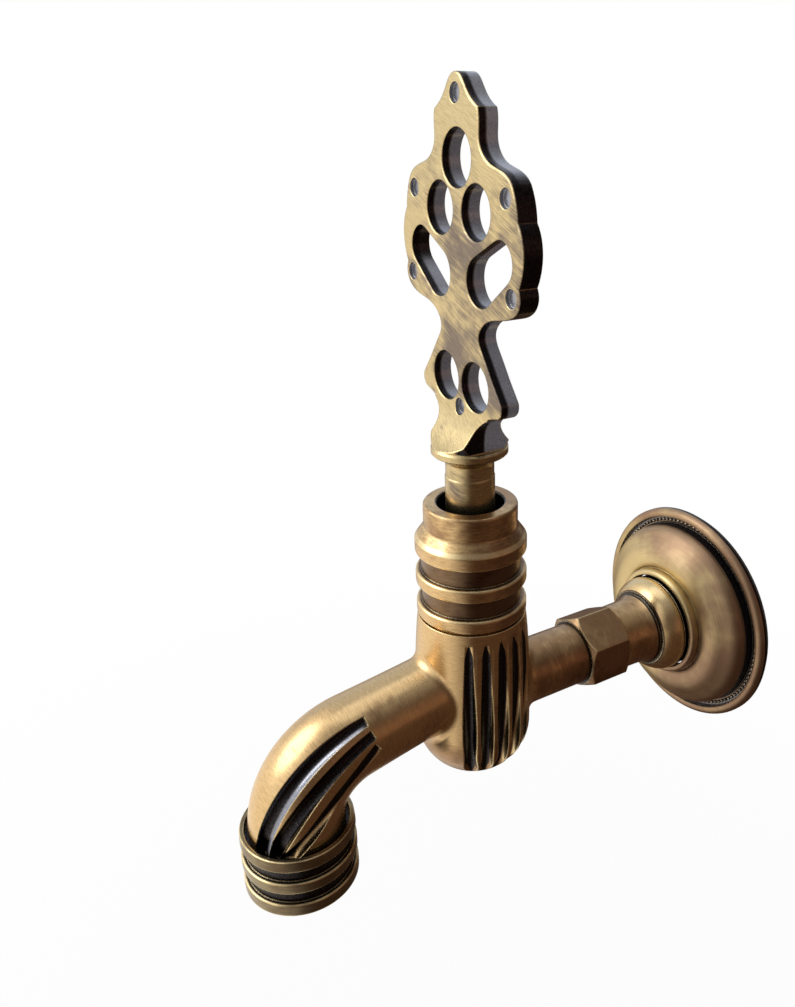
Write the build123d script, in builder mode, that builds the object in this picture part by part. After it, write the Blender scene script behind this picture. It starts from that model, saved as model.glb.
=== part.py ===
from build123d import *
import os
from math import cos, pi, radians, sin, sqrt, tan

# Wall-mounted hammam basin tap in cast and turned brass, in millimetres.
# The origin is on the inlet axis at the face of the wall. Y runs into the wall and Z is up.
# A quarter turn of the pierced handle turns a ceramic disc over a fixed one.

# Places of the main axes
body_to_wall = 96.0
outlet_reach = 61.8

# Fits
thread_clearance = 0.05
running_clearance = 0.05
loose_clearance = 0.4
seal_clearance = 0.05
disc_gap = 0.04

# Cast body
barrel_r = 18.5
barrel_top_r = 16.9
barrel_round_height = 17.0
barrel_belly_z = -9.5
barrel_waist_z = 8.0
barrel_waist_inset = 0.1
sole_flat = 6.0
shoulder_z = 31.3
spigot_r = 13.4
spigot_height = 8.0
junction_fillet = 3.5
pipe_r = 10.5
pipe_end = 55.5
pipe_spigot_r = 9.0
pipe_spigot_length = 11.0
inlet_bore_r = 6.5

# Gouges cut in the casting
barrel_gouges = 5
barrel_gouge_pitch = 17.0
barrel_gouge_r = 2.1
barrel_gouge_proud = 0.5
barrel_gouge_entry = 0.3
barrel_gouge_shares = (0.2, 0.6, 0.95)
spout_gouge_entry = 0.6
# Each spout gouge: cutter radius, how far its line stays off the skin, then (share, angle) points
spout_gouges = (
    (2.6, 0.7, ((0.53, 41.5), (0.78, 43.5), (1.06, 22.0))),
    (2.4, 0.8, ((0.525, 62.0), (0.78, 72.0), (1.06, 35.0))),
    (2.1, 0.9, ((0.525, 80.0), (0.80, 101.5), (1.06, 47.0))),
)

# Spout, a swept tube that swells towards its mouth
spout_root_z = 8.3
spout_fall = 9.85
spout_bend_r = 23.0
spout_r = 12.1
spout_mouth_r = 14.45
nose_r = 12.6
nose_bore_r = 8.6
nose_bore_taper = 15.0
nose_length = 9.0

# Waterway inside the body
chamber_r = 9.6
seat_z = 4.0
seat_thickness = 4.0
seat_hole_r = 5.5
well_r = 8.0
well_depth = 16.0
riser_r = 4.8
riser_start = 14.0
outflow_z = 11.0
outflow_r = 6.0

# Ribbed bonnet over the headwork
bonnet_height = 36.7
bonnet_r = 17.0
bonnet_groove_r = 15.3
bonnet_neck_r = 14.2
bonnet_mouth_r = 10.05
bonnet_rings = 3
bonnet_first_ring = 4.9
bonnet_ring_height = 4.3
bonnet_ring_pitch = 10.3
bonnet_cone_height = 3.9
bonnet_cavity_top = 26.0
bonnet_rim_round = 0.9
rim_inner_round = 0.6
ring_round = 0.9

# Ceramic headwork
headwork_thread_r = 10.35
headwork_thread_length = 13.0
headwork_cage_r = 9.0
headwork_hex = 21.0
headwork_hex_height = 6.0
headwork_neck_r = 8.2
headwork_washer_thickness = 1.0
headwork_washer_r = 12.6
headwork_top_above_hex = 10.2
disc_r = 7.0
disc_thickness = 3.2
disc_port_r = 5.6
disc_port_angle = 80.0
disc_hub_r = 1.6
cage_bore_r = 7.2
window_height = 7.0
window_width = 10.0
seal_inner_r = 6.0
seal_height = 2.6

# Spindle, its washers and rings
spindle_r = 4.9
spindle_head_r = 6.9
spindle_head_height = 4.2
spindle_head_width = 8.0
spindle_chamfer = 0.5
tongue_width = 3.0
tongue_length = 9.0
tongue_height = 1.2
slide_washer_thickness = 0.8
spline_r = 4.2
spline_height = 20.5
spline_teeth = 20
spline_groove_r = 0.35
o_ring_wire_r = 0.8
o_rings_above_hex = (-2.3, 3.2)
circlip_thickness = 0.8
circlip_r = 6.6
circlip_groove_r = 3.6
circlip_gap = 5.0
circlip_lift = 0.1

# Pierced handle
plate_thickness = 6.0
plate_edge_round = 0.6
plate_foot_width = 18.4
flare_height = 11.4
flare_half_width = 14.6
flare_waist = (5.9, 4.6)
flare_foot_r = 10.3
flare_spread = 22.0
plate_holes = ((0.0, 78.0, 7.3), (9.3, 65.2, 7.0), (7.9, 19.1, 7.0))
plate_oval = ((11.0, 48.0, 6.6), (20.5, 54.0, 5.6))
plate_dimples = ((0.0, 93.3), (23.3, 69.6), (25.9, 46.2), (0.0, 11.8))
# Half of the plate's outline as (offset, height), one row to each smooth curve, from its tip down
plate_curves = (
    ((0.0, 98.2), (4.2, 95.8), (6.6, 92.9), (10.9, 90.0)),
    ((10.9, 90.0), (11.4, 86.5), (11.5, 82.0), (14.2, 78.3), (21.5, 75.7), (26.0, 72.8)),
    ((26.0, 72.8), (27.7, 69.2), (28.7, 64.2)),
    ((28.7, 64.2), (30.8, 60.0), (31.2, 55.5), (29.2, 48.8)),
    ((29.2, 48.8), (29.9, 46.4), (28.4, 42.8)),
    ((28.4, 42.8), (20.0, 39.6), (12.0, 36.6), (10.2, 33.6), (12.6, 28.8), (17.4, 22.3), (21.4, 17.2)),
    ((21.4, 17.2), (21.2, 14.6), (19.4, 13.0)),
)
plate_dimple_clearance = 1.0
flange_above_rim = 15.4
flange_round = 0.5
handle_flange_thickness = 2.6
handle_flange_r = 11.3
handle_stem_r = 7.4
handle_stem_step = 0.2
handle_cone_height = 3.4
stem_above_headwork = 1.2
dimple_r = 2.5
dimple_depth = 1.1
grub_r = 2.0
grub_length = 2.7
grub_socket_r = 1.0
grub_above_rim = 5.0

# Ribbed collar at the outlet
collar_height = 23.3
collar_r = 17.2
collar_lip_r = 16.9
collar_lift = 0.1
collar_mouth_gap = 1.2
collar_bands = 3
collar_band_round = 0.7
collar_lip_round = 0.3
collar_groove_r = 15.8
collar_band_height = 3.9
collar_band_pitch = 8.0
collar_foot_inset = 3.2
collar_foot_round = 2.0
collar_wall_above_seat = 2.6
aerator_seat_width = 1.3

# Aerator in the collar
gasket_thickness = 1.5
aerator_flange_height = 1.5
aerator_wall = 1.2
aerator_depth = 8.4
mesh_thickness = 0.6
mesh_pitch = 2.0
mesh_hole = 1.3
straightener_height = 3.5
vane_thickness = 0.8
vane_pitch = 4.2

# Hexagon adapter with its turned collar
hex_across = 23.4
hex_length = 16.8
hex_clocking = 1.3
hex_corner_cut = 1.5
hex_face_inset = 0.3
adapter_gasket_thickness = 1.0
adapter_edge_width = 1.4
adapter_seam_width = 0.5
adapter_seam_depth = 0.6
adapter_neck_r = 11.4
adapter_neck_length = 12.9
adapter_collar_r = 17.2
adapter_collar_length = 7.2
adapter_sleeve_r = 16.9
adapter_sleeve_length = 8.6
adapter_bore_r = 6.5

# Threaded tail that goes into the wall
tail_r = 10.48
tail_bore_r = 7.0
tail_root_r = 9.4
tail_into_adapter = 9.0
tail_relief = 2.5
tail_into_wall = 13.0
tail_end_chamfer = 1.0

# Wall rosette and its gasket
rosette_r = 40.0
rosette_depth = 16.0
rosette_edge_height = 2.2
rosette_rim_height = 1.7
rosette_rim_width = 3.0
rosette_groove_depth = 2.2
rosette_groove_width = 2.9
rosette_dome_edge = 6.2
rosette_dome_height = 13.2
dome_side_share = 0.29
dome_middle_share = 0.555
rosette_wall = 1.8
rosette_back_step = 1.0
rosette_hub_wall = 2.0
rosette_hub_round = 1.2
rosette_gasket_thickness = 1.0
rosette_gasket_width = 7.0

# Worked-out places
body_y = -body_to_wall
outlet_y = body_y - outlet_reach
sole_z = barrel_belly_z - barrel_round_height * cos(radians(sole_flat))
rim_z = shoulder_z + bonnet_height
spigot_top = shoulder_z + spigot_height
hex_foot = spigot_top + headwork_washer_thickness
hex_top = hex_foot + headwork_hex_height
fixed_disc_z = seat_z + seal_height
moving_disc_z = fixed_disc_z + disc_thickness + disc_gap
spindle_foot = moving_disc_z + disc_thickness
o_ring_heights = [hex_top + lift for lift in o_rings_above_hex]
cage_roof = spindle_foot + spindle_head_height + slide_washer_thickness + running_clearance
headwork_top = hex_top + headwork_top_above_hex
stem_foot = headwork_top + stem_above_headwork
spline_top = headwork_top + spline_height
handle_zero = rim_z + flange_above_rim + handle_flange_thickness
hex_end = -pipe_end + hex_length
hex_corner_r = hex_across / sqrt(3)
hex_face_r = hex_across / 2 - hex_face_inset
collar_end = hex_end + adapter_neck_length + adapter_collar_length
sleeve_end = collar_end + adapter_sleeve_length
rosette_back = -rosette_gasket_thickness
rosette_front = rosette_back - rosette_depth
rosette_bore_r = adapter_collar_r + loose_clearance
rosette_groove_r = rosette_r - rosette_rim_width
rosette_dome_r = rosette_groove_r - rosette_groove_width
body_plane = Plane(origin=(0, body_y, 0), x_dir=(1, 0, 0), z_dir=(0, -1, 0))
body_axis = Axis((0, body_y, 0), (0, 0, 1))
outlet_plane = Plane(origin=(0, outlet_y, 0), x_dir=(1, 0, 0), z_dir=(0, -1, 0))
outlet_axis = Axis((0, outlet_y, 0), (0, 0, 1))
inlet_plane = Plane(origin=(0, 0, 0), x_dir=(0, 1, 0), z_dir=(1, 0, 0))
inlet_axis = Axis((0, 0, 0), (0, 1, 0))


def level(axis_y, height):
    """A horizontal plane centred on the vertical axis at axis_y."""
    return Plane(origin=(0, axis_y, height), x_dir=(1, 0, 0), z_dir=(0, 0, 1))


def across(place, height=0):
    """A plane square to the Y axis at the given Y, looking along +Y."""
    return Plane(origin=(0, place, height), x_dir=(1, 0, 0), z_dir=(0, 1, 0))


def ring(axis_y, low, high, inner_r, outer_r):
    """A plain flat ring about a vertical axis."""
    with BuildPart() as made:
        with BuildSketch(level(axis_y, low)):
            Circle(outer_r)
            Circle(inner_r, mode=Mode.SUBTRACT)
        extrude(amount=high - low)
    return made


def o_ring(axis_y, height, centre_r, wire_r):
    """A round rubber ring about a vertical axis."""
    with BuildPart() as made:
        with BuildSketch(Plane(origin=(0, axis_y, height), x_dir=(1, 0, 0), z_dir=(0, -1, 0))):
            with Locations((centre_r, 0)):
                Circle(wire_r)
        revolve(axis=Axis((0, axis_y, 0), (0, 0, 1)))
    return made


os.makedirs("parts", exist_ok=True)

# The spout's centre line: a falling run and a bend down to the mouth
fall = radians(spout_fall)
bend_turn = pi / 2 - fall
corner_z = spout_root_z - outlet_reach * tan(fall)
tangent_length = spout_bend_r * tan(bend_turn / 2)
bend_end_z = corner_z - tangent_length
bend_start = (outlet_y + tangent_length * cos(fall), corner_z + tangent_length * sin(fall))
bend_centre = (outlet_y + spout_bend_r, bend_end_z)
collar_top = bend_end_z + collar_lift
shoulder_seat_z = collar_top - collar_wall_above_seat
nose_end = shoulder_seat_z - nose_length
collar_mouth_r = spout_mouth_r + collar_mouth_gap
collar_foot = collar_top - collar_height
aerator_top = nose_end - gasket_thickness
aerator_ledge = aerator_top - aerator_flange_height
aerator_barrel_r = nose_r - aerator_seat_width
aerator_bore_r = aerator_barrel_r - aerator_wall
aerator_mouth_r = aerator_bore_r - aerator_wall * 0.7
aerator_foot = aerator_ledge - aerator_depth
mesh_foot = aerator_top - straightener_height - mesh_thickness


def bend_point(turned):
    """A point of the spout's centre line, turned radians past the start of the bend."""
    lean = pi / 2 - fall - turned
    return (0, bend_centre[0] - spout_bend_r * cos(lean), bend_centre[1] + spout_bend_r * sin(lean))


with BuildLine() as spout_line:
    run = Line((0, body_y, spout_root_z), (0, bend_start[0], bend_start[1]))
    bend = ThreePointArc(run @ 1, bend_point(bend_turn / 2), (0, outlet_y, bend_end_z))

spout_wire = spout_line.wires()[0]
run_share = run.length / spout_wire.length


def spout_radius(share):
    """The tube's radius at a share of the centre line's length."""
    return spout_r + (spout_mouth_r - spout_r) * share ** 2


def gouge(points, cutter_r):
    """A round cutter swept on the arc through three points."""
    with BuildPart() as cutter:
        with BuildLine() as track:
            ThreePointArc(*points)
        with BuildSketch(Plane(origin=track.line @ 0, z_dir=track.line % 0)):
            Circle(cutter_r)
        sweep(path=track.line)
    return cutter.part


def barrel_outline():
    """The barrel's meridian, from the rim of its sole's small flat up to its shoulder."""
    EllipticalCenterArc(
        (0, barrel_belly_z),
        barrel_r,
        barrel_round_height,
        start_angle=270 + sole_flat,
        arc_size=90 - sole_flat,
    )
    Spline(
        (barrel_r, barrel_belly_z),
        (barrel_r - barrel_waist_inset, barrel_waist_z),
        tangents=((0, 1), (-0.03, 1)),
    )
    Spline(
        (barrel_r - barrel_waist_inset, barrel_waist_z),
        (barrel_top_r, shoulder_z),
        tangents=((-0.03, 1), (-0.12, 1)),
    )


with BuildLine() as barrel_line:
    barrel_outline()

barrel_wire = barrel_line.wires()[0]


def barrel_gouge_points():
    """Three points of a gouge's track: almost clear of the skin at both ends, and near it half way."""
    points = []
    end_lift = barrel_gouge_r - barrel_gouge_entry
    for share, proud in zip(barrel_gouge_shares, (end_lift, barrel_gouge_proud, end_lift)):
        tangent = barrel_wire.tangent_at(share)
        outward = Vector(tangent.Y, -tangent.X)
        points.append(body_plane.from_local_coords(barrel_wire.position_at(share) + outward * proud))
    return points


def spout_place(share, angle, lift):
    """A point lifted off the spout's skin, angle degrees round from the outside of its bend.

    Past the mouth, where the share is over 1, the point goes straight on downwards.
    """
    on_line = min(share, 1)
    along = spout_wire.tangent_at(on_line)
    past = along * ((share - on_line) * spout_wire.length)
    skin = Vector(1, 0, 0) * sin(radians(angle)) + along.cross(Vector(1, 0, 0)) * cos(radians(angle))
    return spout_wire.position_at(on_line) + past + skin * (spout_radius(on_line) + lift)


barrel_gouge = gouge(barrel_gouge_points(), barrel_gouge_r)

# Cast body: barrel, inlet pipe and spout, gouged on both sides, with the waterway inside
with BuildPart() as tap_body:
    with BuildSketch(body_plane):
        with BuildLine():
            barrel_outline()
            Polyline(
                (barrel_top_r, shoulder_z),
                (0, shoulder_z),
                (0, sole_z),
                (barrel_r * sin(radians(sole_flat)), sole_z),
            )
        make_face()
    revolve(axis=body_axis)
    with BuildSketch(across(body_y)):
        Circle(pipe_r)
    extrude(amount=body_to_wall - pipe_end)
    fillet(tap_body.edges(Select.NEW), junction_fillet)

    # Spout
    for share in (0, run_share, (1 + run_share) / 2, 1):
        direction = spout_wire.tangent_at(share)
        with BuildSketch(Plane(origin=spout_wire.position_at(share), x_dir=(1, 0, 0), z_dir=direction)):
            Circle(spout_radius(share))
    sweep(path=spout_wire, multisection=True)
    fillet(tap_body.edges(Select.NEW), junction_fillet)
    with BuildSketch(level(outlet_y, bend_end_z)):
        Circle(spout_mouth_r)
    extrude(amount=shoulder_seat_z - bend_end_z)

    # Gouges, the same on both sides
    for side in (0, 180):
        for number in range(barrel_gouges):
            turn = side + (number - (barrel_gouges - 1) / 2) * barrel_gouge_pitch
            add(barrel_gouge.rotate(body_axis, turn), mode=Mode.SUBTRACT)
    for cutter_r, proud, places in spout_gouges:
        for side in (1, -1):
            lifts = (cutter_r - spout_gouge_entry, proud, proud)
            points = [spout_place(share, side * angle, lift) for (share, angle), lift in zip(places, lifts)]
            add(gouge(points, cutter_r), mode=Mode.SUBTRACT)

    # Threaded nose, and spigots for the headwork and for the adapter
    with BuildSketch(level(outlet_y, shoulder_seat_z)):
        Circle(nose_r)
    extrude(amount=-nose_length)
    with BuildSketch(level(body_y, shoulder_z)):
        Circle(spigot_r)
    extrude(amount=spigot_height)
    with BuildSketch(across(-pipe_end)):
        Circle(pipe_spigot_r)
    extrude(amount=pipe_spigot_length)

    # Waterway: thread bore, chamber, seat, well, riser, inlet bore and outflow
    with BuildSketch(level(body_y, seat_z)):
        Circle(chamber_r)
    extrude(amount=spigot_top - headwork_thread_length - seat_z, mode=Mode.SUBTRACT)
    with BuildSketch(level(body_y, spigot_top)):
        Circle(headwork_thread_r + thread_clearance)
    extrude(amount=-headwork_thread_length, mode=Mode.SUBTRACT)
    with BuildSketch(level(body_y, seat_z)):
        Circle(seat_hole_r)
    extrude(amount=-seat_thickness, mode=Mode.SUBTRACT)
    with BuildSketch(level(body_y, seat_z - seat_thickness)):
        Circle(well_r)
    extrude(amount=-well_depth, mode=Mode.SUBTRACT)
    with BuildSketch(across(body_y + riser_start)):
        Circle(inlet_bore_r)
    extrude(amount=body_to_wall - pipe_end - riser_start + pipe_spigot_length, mode=Mode.SUBTRACT)
    with BuildLine() as riser_line:
        Line((0, body_y + riser_start + 1, 0), (0, body_y, seat_z - seat_thickness - well_depth * 0.7))
    with BuildSketch(Plane(origin=riser_line.line @ 0, x_dir=(1, 0, 0), z_dir=riser_line.line % 0)):
        Circle(riser_r)
    sweep(path=riser_line.line, mode=Mode.SUBTRACT)
    with BuildLine() as outflow_line:
        Line((0, body_y, outflow_z), run @ 1)
    with BuildSketch(Plane(origin=outflow_line.line @ 0, x_dir=(1, 0, 0), z_dir=outflow_line.line % 0)):
        Circle(outflow_r)
    sweep(path=outflow_line.line, mode=Mode.SUBTRACT)
    with BuildSketch(Plane(origin=bend @ 0, x_dir=(1, 0, 0), z_dir=bend % 0)):
        Circle(outflow_r)
    sweep(path=bend, mode=Mode.SUBTRACT)
    with BuildSketch(level(outlet_y, bend_end_z)):
        Circle(outflow_r)
    extrude(amount=nose_end - bend_end_z, mode=Mode.SUBTRACT)
    with BuildSketch(level(outlet_y, nose_end)):
        Circle(nose_bore_r)
    extrude(amount=nose_length, taper=nose_bore_taper, mode=Mode.SUBTRACT)

tap_body.part.label = "tap_body"
export_step(tap_body.part, "parts/tap_body.step")


def near_radius(radius):
    """Picks the corners of a turned profile that lie at one radius."""
    return lambda corner: abs(corner.X - radius) < 0.01


# Ribbed bonnet, screwed down over the headwork on to the barrel's shoulder
with BuildPart() as bonnet:
    with BuildSketch(body_plane) as bonnet_profile:
        with BuildLine():
            outline = [(spigot_r + thread_clearance, shoulder_z), (bonnet_groove_r, shoulder_z)]
            for number in range(bonnet_rings):
                ring_top = shoulder_z + bonnet_first_ring + number * bonnet_ring_pitch
                outline += [
                    (bonnet_groove_r, ring_top - bonnet_ring_height),
                    (bonnet_r, ring_top - bonnet_ring_height),
                    (bonnet_r, ring_top),
                ]
                if number < bonnet_rings - 1:
                    outline.append((bonnet_groove_r, ring_top))
            outline += [
                (bonnet_neck_r, ring_top + bonnet_cone_height),
                (bonnet_neck_r, rim_z),
                (bonnet_mouth_r, rim_z),
                (bonnet_mouth_r, shoulder_z + bonnet_cavity_top),
                (spigot_r + thread_clearance, shoulder_z + bonnet_cavity_top),
            ]
            Polyline(*outline, close=True)
        make_face()
        fillet(bonnet_profile.vertices().filter_by(near_radius(bonnet_r)), ring_round)
        fillet(bonnet_profile.vertices().filter_by(near_radius(bonnet_neck_r)), bonnet_rim_round)
        mouth_corner = bonnet_profile.vertices().filter_by(near_radius(bonnet_mouth_r)).sort_by(Axis.Y)[-1]
        fillet(mouth_corner, rim_inner_round)
    revolve(axis=body_axis)

bonnet.part.label = "bonnet"
export_step(bonnet.part, "parts/bonnet.step")

# Washer under the headwork's hexagon
headwork_washer = ring(body_y, spigot_top, hex_foot, headwork_thread_r + seal_clearance, headwork_washer_r)
headwork_washer.part.label = "headwork_washer"
export_step(headwork_washer.part, "parts/headwork_washer.step")

# Headwork body: hexagon, thread, and a cage with two windows round the discs
with BuildPart() as headwork_body:
    with BuildSketch(body_plane) as headwork_profile:
        with BuildLine():
            Polyline(
                (cage_bore_r, fixed_disc_z),
                (headwork_cage_r, fixed_disc_z),
                (headwork_cage_r, spigot_top - headwork_thread_length),
                (headwork_thread_r, spigot_top - headwork_thread_length),
                (headwork_thread_r, hex_foot),
                (headwork_neck_r, hex_foot),
                (headwork_neck_r, headwork_top),
                (spindle_r + running_clearance, headwork_top),
                (spindle_r + running_clearance, cage_roof),
                (cage_bore_r, cage_roof),
                close=True,
            )
        make_face()
        chamfer(headwork_profile.vertices().sort_by(Axis.Y)[-2:].sort_by(Axis.X)[-1], spindle_chamfer)
    revolve(axis=body_axis)
    with BuildSketch(level(body_y, hex_foot)):
        RegularPolygon(headwork_hex / 2, 6, major_radius=False)
        Circle(headwork_neck_r - loose_clearance, mode=Mode.SUBTRACT)
    extrude(amount=headwork_hex_height)
    with BuildSketch(level(body_y, moving_disc_z)):
        Rectangle(window_width, headwork_cage_r * 3)
        Circle(cage_bore_r, mode=Mode.SUBTRACT)
    extrude(amount=window_height, mode=Mode.SUBTRACT)

headwork_body.part.label = "headwork_body"
export_step(headwork_body.part, "parts/headwork_body.step")

# Rubber seal between the seat and the fixed disc
seat_seal = ring(body_y, seat_z, fixed_disc_z, seal_inner_r, headwork_cage_r - seal_clearance)
seat_seal.part.label = "seat_seal"
export_step(seat_seal.part, "parts/seat_seal.step")


def disc(foot, turned, slotted):
    """A ceramic disc with two ports, turned so many degrees, slotted on top if the spindle drives it."""
    with BuildPart() as made:
        with BuildSketch(level(body_y, foot)):
            Circle(disc_r)
            for side in (0, 180):
                with BuildLine():
                    start = turned + side - disc_port_angle / 2
                    outer = CenterArc((0, 0), disc_port_r, start, disc_port_angle)
                    inner = CenterArc((0, 0), disc_hub_r, start, disc_port_angle)
                    Line(outer @ 0, inner @ 0)
                    Line(outer @ 1, inner @ 1)
                make_face(mode=Mode.SUBTRACT)
        extrude(amount=disc_thickness)
        if slotted:
            with BuildSketch(level(body_y, foot + disc_thickness)):
                Rectangle(tongue_length, tongue_width)
            extrude(amount=-tongue_height, mode=Mode.SUBTRACT)
    return made


fixed_disc = disc(fixed_disc_z, 0, slotted=False)
fixed_disc.part.label = "fixed_disc"
export_step(fixed_disc.part, "parts/fixed_disc.step")

moving_disc = disc(moving_disc_z, 90, slotted=True)
moving_disc.part.label = "moving_disc"
export_step(moving_disc.part, "parts/moving_disc.step")

# Spindle: a flat-sided head with a tongue, a shaft with two ring grooves and a splined top
with BuildPart() as spindle:
    with BuildSketch(level(body_y, spindle_foot)):
        Circle(spindle_head_r)
        Rectangle(spindle_head_r * 2, spindle_head_width, mode=Mode.INTERSECT)
    extrude(amount=spindle_head_height)
    with BuildSketch(level(body_y, spindle_foot)):
        Rectangle(tongue_length - 2 * loose_clearance, tongue_width - 2 * running_clearance)
    extrude(amount=-(tongue_height - running_clearance))
    with BuildSketch(level(body_y, spindle_foot)):
        Circle(spindle_r)
    extrude(amount=headwork_top - spindle_foot)
    with BuildSketch(level(body_y, headwork_top)):
        Circle(spline_r)
        with PolarLocations(spline_r + spline_groove_r / 2, spline_teeth):
            Circle(spline_groove_r, mode=Mode.SUBTRACT)
    extrude(amount=spline_height)
    for height in o_ring_heights:
        with BuildSketch(level(body_y, height - o_ring_wire_r - seal_clearance)):
            Circle(spindle_r * 2)
            Circle(spindle_r - 2 * o_ring_wire_r - seal_clearance, mode=Mode.SUBTRACT)
        extrude(amount=2 * (o_ring_wire_r + seal_clearance), mode=Mode.SUBTRACT)
    with BuildSketch(level(body_y, headwork_top + circlip_lift - seal_clearance)):
        Circle(spindle_r)
        Circle(circlip_groove_r, mode=Mode.SUBTRACT)
    extrude(amount=circlip_thickness + 2 * seal_clearance, mode=Mode.SUBTRACT)

spindle.part.label = "spindle"
export_step(spindle.part, "parts/spindle.step")

# Slide washer between the spindle's head and the roof of the cage
slide_washer = ring(
    body_y,
    spindle_foot + spindle_head_height,
    spindle_foot + spindle_head_height + slide_washer_thickness,
    spindle_r + running_clearance,
    spindle_head_r,
)
slide_washer.part.label = "slide_washer"
export_step(slide_washer.part, "parts/slide_washer.step")

# Two rubber rings on the spindle
for name, height in zip(("lower", "upper"), o_ring_heights):
    spindle_o_ring = o_ring(body_y, height, spindle_r - o_ring_wire_r, o_ring_wire_r)
    spindle_o_ring.part.label = f"spindle_o_ring_{name}"
    export_step(spindle_o_ring.part, f"parts/spindle_o_ring_{name}.step")

# Circlip that keeps the spindle from dropping through the headwork
with BuildPart() as circlip:
    with BuildSketch(level(body_y, headwork_top + circlip_lift)):
        Circle(circlip_r)
        Circle(circlip_groove_r + seal_clearance, mode=Mode.SUBTRACT)
        with Locations((circlip_r, 0)):
            Rectangle(circlip_r * 2, circlip_gap, mode=Mode.SUBTRACT)
    extrude(amount=circlip_thickness)

circlip.part.label = "spindle_circlip"
export_step(circlip.part, "parts/spindle_circlip.step")

# Pierced handle: a flat cast plate that flows into a dished flange over a plain stem.
# Its heights are counted from the top of the flange.
plate_front = Plane(origin=(0, body_y - plate_thickness / 2, handle_zero), x_dir=(1, 0, 0), z_dir=(0, -1, 0))
handle_plane = Plane(origin=(0, body_y, handle_zero), x_dir=(1, 0, 0), z_dir=(0, -1, 0))
plate_foot = -handle_flange_thickness / 2
stem_bottom = stem_foot - handle_zero
bore_top = spline_top + loose_clearance - handle_zero

side_plane = Plane(origin=(0, body_y, handle_zero), x_dir=(0, 1, 0), z_dir=(1, 0, 0))


def plate_lower_curve():
    """The outline's lowest curve, which the plate ends on and the flare goes on with."""
    return Spline(
        (flare_half_width, flare_height),
        (10.8, 8.4),
        (plate_foot_width / 2, plate_foot),
        tangents=((-0.88, -0.47), (-0.05, -1)),
    )


# Flare between the plate and the flange, hollowed along both faces
with BuildPart() as handle_flare:
    with BuildSketch(side_plane):
        with BuildLine():
            scoop = ThreePointArc(
                (plate_thickness / 2, flare_height),
                flare_waist,
                (handle_flange_r - flange_round, 0),
            )
            Polyline(
                scoop @ 1,
                (handle_flange_r - flange_round, plate_foot),
                (0, plate_foot),
                (0, flare_height),
                scoop @ 0,
            )
        make_face()
        mirror(about=Plane.YZ)
    extrude(amount=flare_half_width * 1.5, both=True)
    with BuildSketch(handle_plane):
        with BuildLine():
            flank = plate_lower_curve()
            Polyline(flank @ 1, (0, plate_foot), (0, flare_height), flank @ 0)
        make_face()
        mirror(about=Plane.YZ)
    extrude(amount=handle_flange_r * 2, both=True, mode=Mode.INTERSECT)
    with BuildSketch(level(body_y, handle_zero + plate_foot)):
        Circle(flare_foot_r)
    extrude(amount=flare_height - plate_foot, taper=-flare_spread, mode=Mode.INTERSECT)

with BuildPart() as handle:
    with BuildSketch(plate_front) as plate:
        with BuildLine():
            tip = Spline(*plate_curves[0], tangents=((1, 0), (1, -0.5)))
            for points in plate_curves[1:]:
                Spline(*points)
            foot = Spline(
                plate_curves[-1][-1],
                (flare_half_width, flare_height),
                tangents=((-1, -0.3), (-0.88, -0.47)),
            )
            Polyline(foot @ 1, (0, flare_height), tip @ 0)
        make_face()
        mirror(about=Plane.YZ)
        for offset, height, radius in plate_holes:
            with Locations((offset, height), (-offset, height)):
                Circle(radius, mode=Mode.SUBTRACT)
    extrude(amount=-plate_thickness)
    for side in (1, -1):
        with BuildSketch(plate_front):
            for offset, height, radius in plate_oval:
                with Locations((side * offset, height)):
                    Circle(radius)
            make_hull()
        extrude(amount=-plate_thickness, mode=Mode.SUBTRACT)
    joint_edges = handle.faces().sort_by(Axis.Z)[0].edges()
    fillet(handle.faces().filter_by(Axis.Y).edges() - joint_edges, plate_edge_round)
    add(handle_flare.part)
    with BuildSketch(plate_front.offset(plate_dimple_clearance)):
        for offset, height in plate_dimples:
            with Locations((offset, height), (-offset, height)):
                Circle(dimple_r)
    extrude(amount=-dimple_depth - plate_dimple_clearance, mode=Mode.SUBTRACT)

    # Flange, cone and stem
    with BuildSketch(handle_plane):
        with BuildLine():
            Polyline(
                (handle_flange_r - flange_round, 0),
                (handle_flange_r, -flange_round),
                (handle_flange_r, flange_round - handle_flange_thickness),
                (handle_flange_r - flange_round, -handle_flange_thickness),
            )
            cone = Spline(
                (handle_flange_r - flange_round, -handle_flange_thickness),
                (handle_stem_r + 0.8, -handle_flange_thickness - handle_cone_height * 0.45),
                (handle_stem_r - handle_stem_step, -handle_flange_thickness - handle_cone_height),
                tangents=((-1, -0.3), (0, -1)),
            )
            Polyline(
                cone @ 1,
                (handle_stem_r - handle_stem_step, -handle_flange_thickness - 2 * handle_cone_height),
                (handle_stem_r, -handle_flange_thickness - 2 * handle_cone_height - handle_stem_step),
                (handle_stem_r, stem_bottom),
                (spline_r + running_clearance, stem_bottom),
                (spline_r + running_clearance, bore_top),
                (0, bore_top),
                (0, 0),
                (handle_flange_r - flange_round, 0),
            )
        make_face()
    revolve(axis=body_axis)
    with BuildSketch(across(body_y, rim_z + grub_above_rim)):
        Circle(grub_r + thread_clearance)
    extrude(amount=handle_stem_r * 2, mode=Mode.SUBTRACT)

handle.part.label = "handle"
export_step(handle.part, "parts/handle.step")

# Grub screw in the back of the stem, with its hexagon socket
grub_plane = across(body_y + spline_r + running_clearance, rim_z + grub_above_rim)

with BuildPart() as grub_screw:
    with BuildSketch(grub_plane):
        Circle(grub_r)
    extrude(amount=grub_length)
    with BuildSketch(grub_plane.offset(grub_length)):
        RegularPolygon(grub_socket_r, 6)
    extrude(amount=-grub_length * 0.6, mode=Mode.SUBTRACT)

grub_screw.part.label = "handle_grub_screw"
export_step(grub_screw.part, "parts/handle_grub_screw.step")

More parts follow.
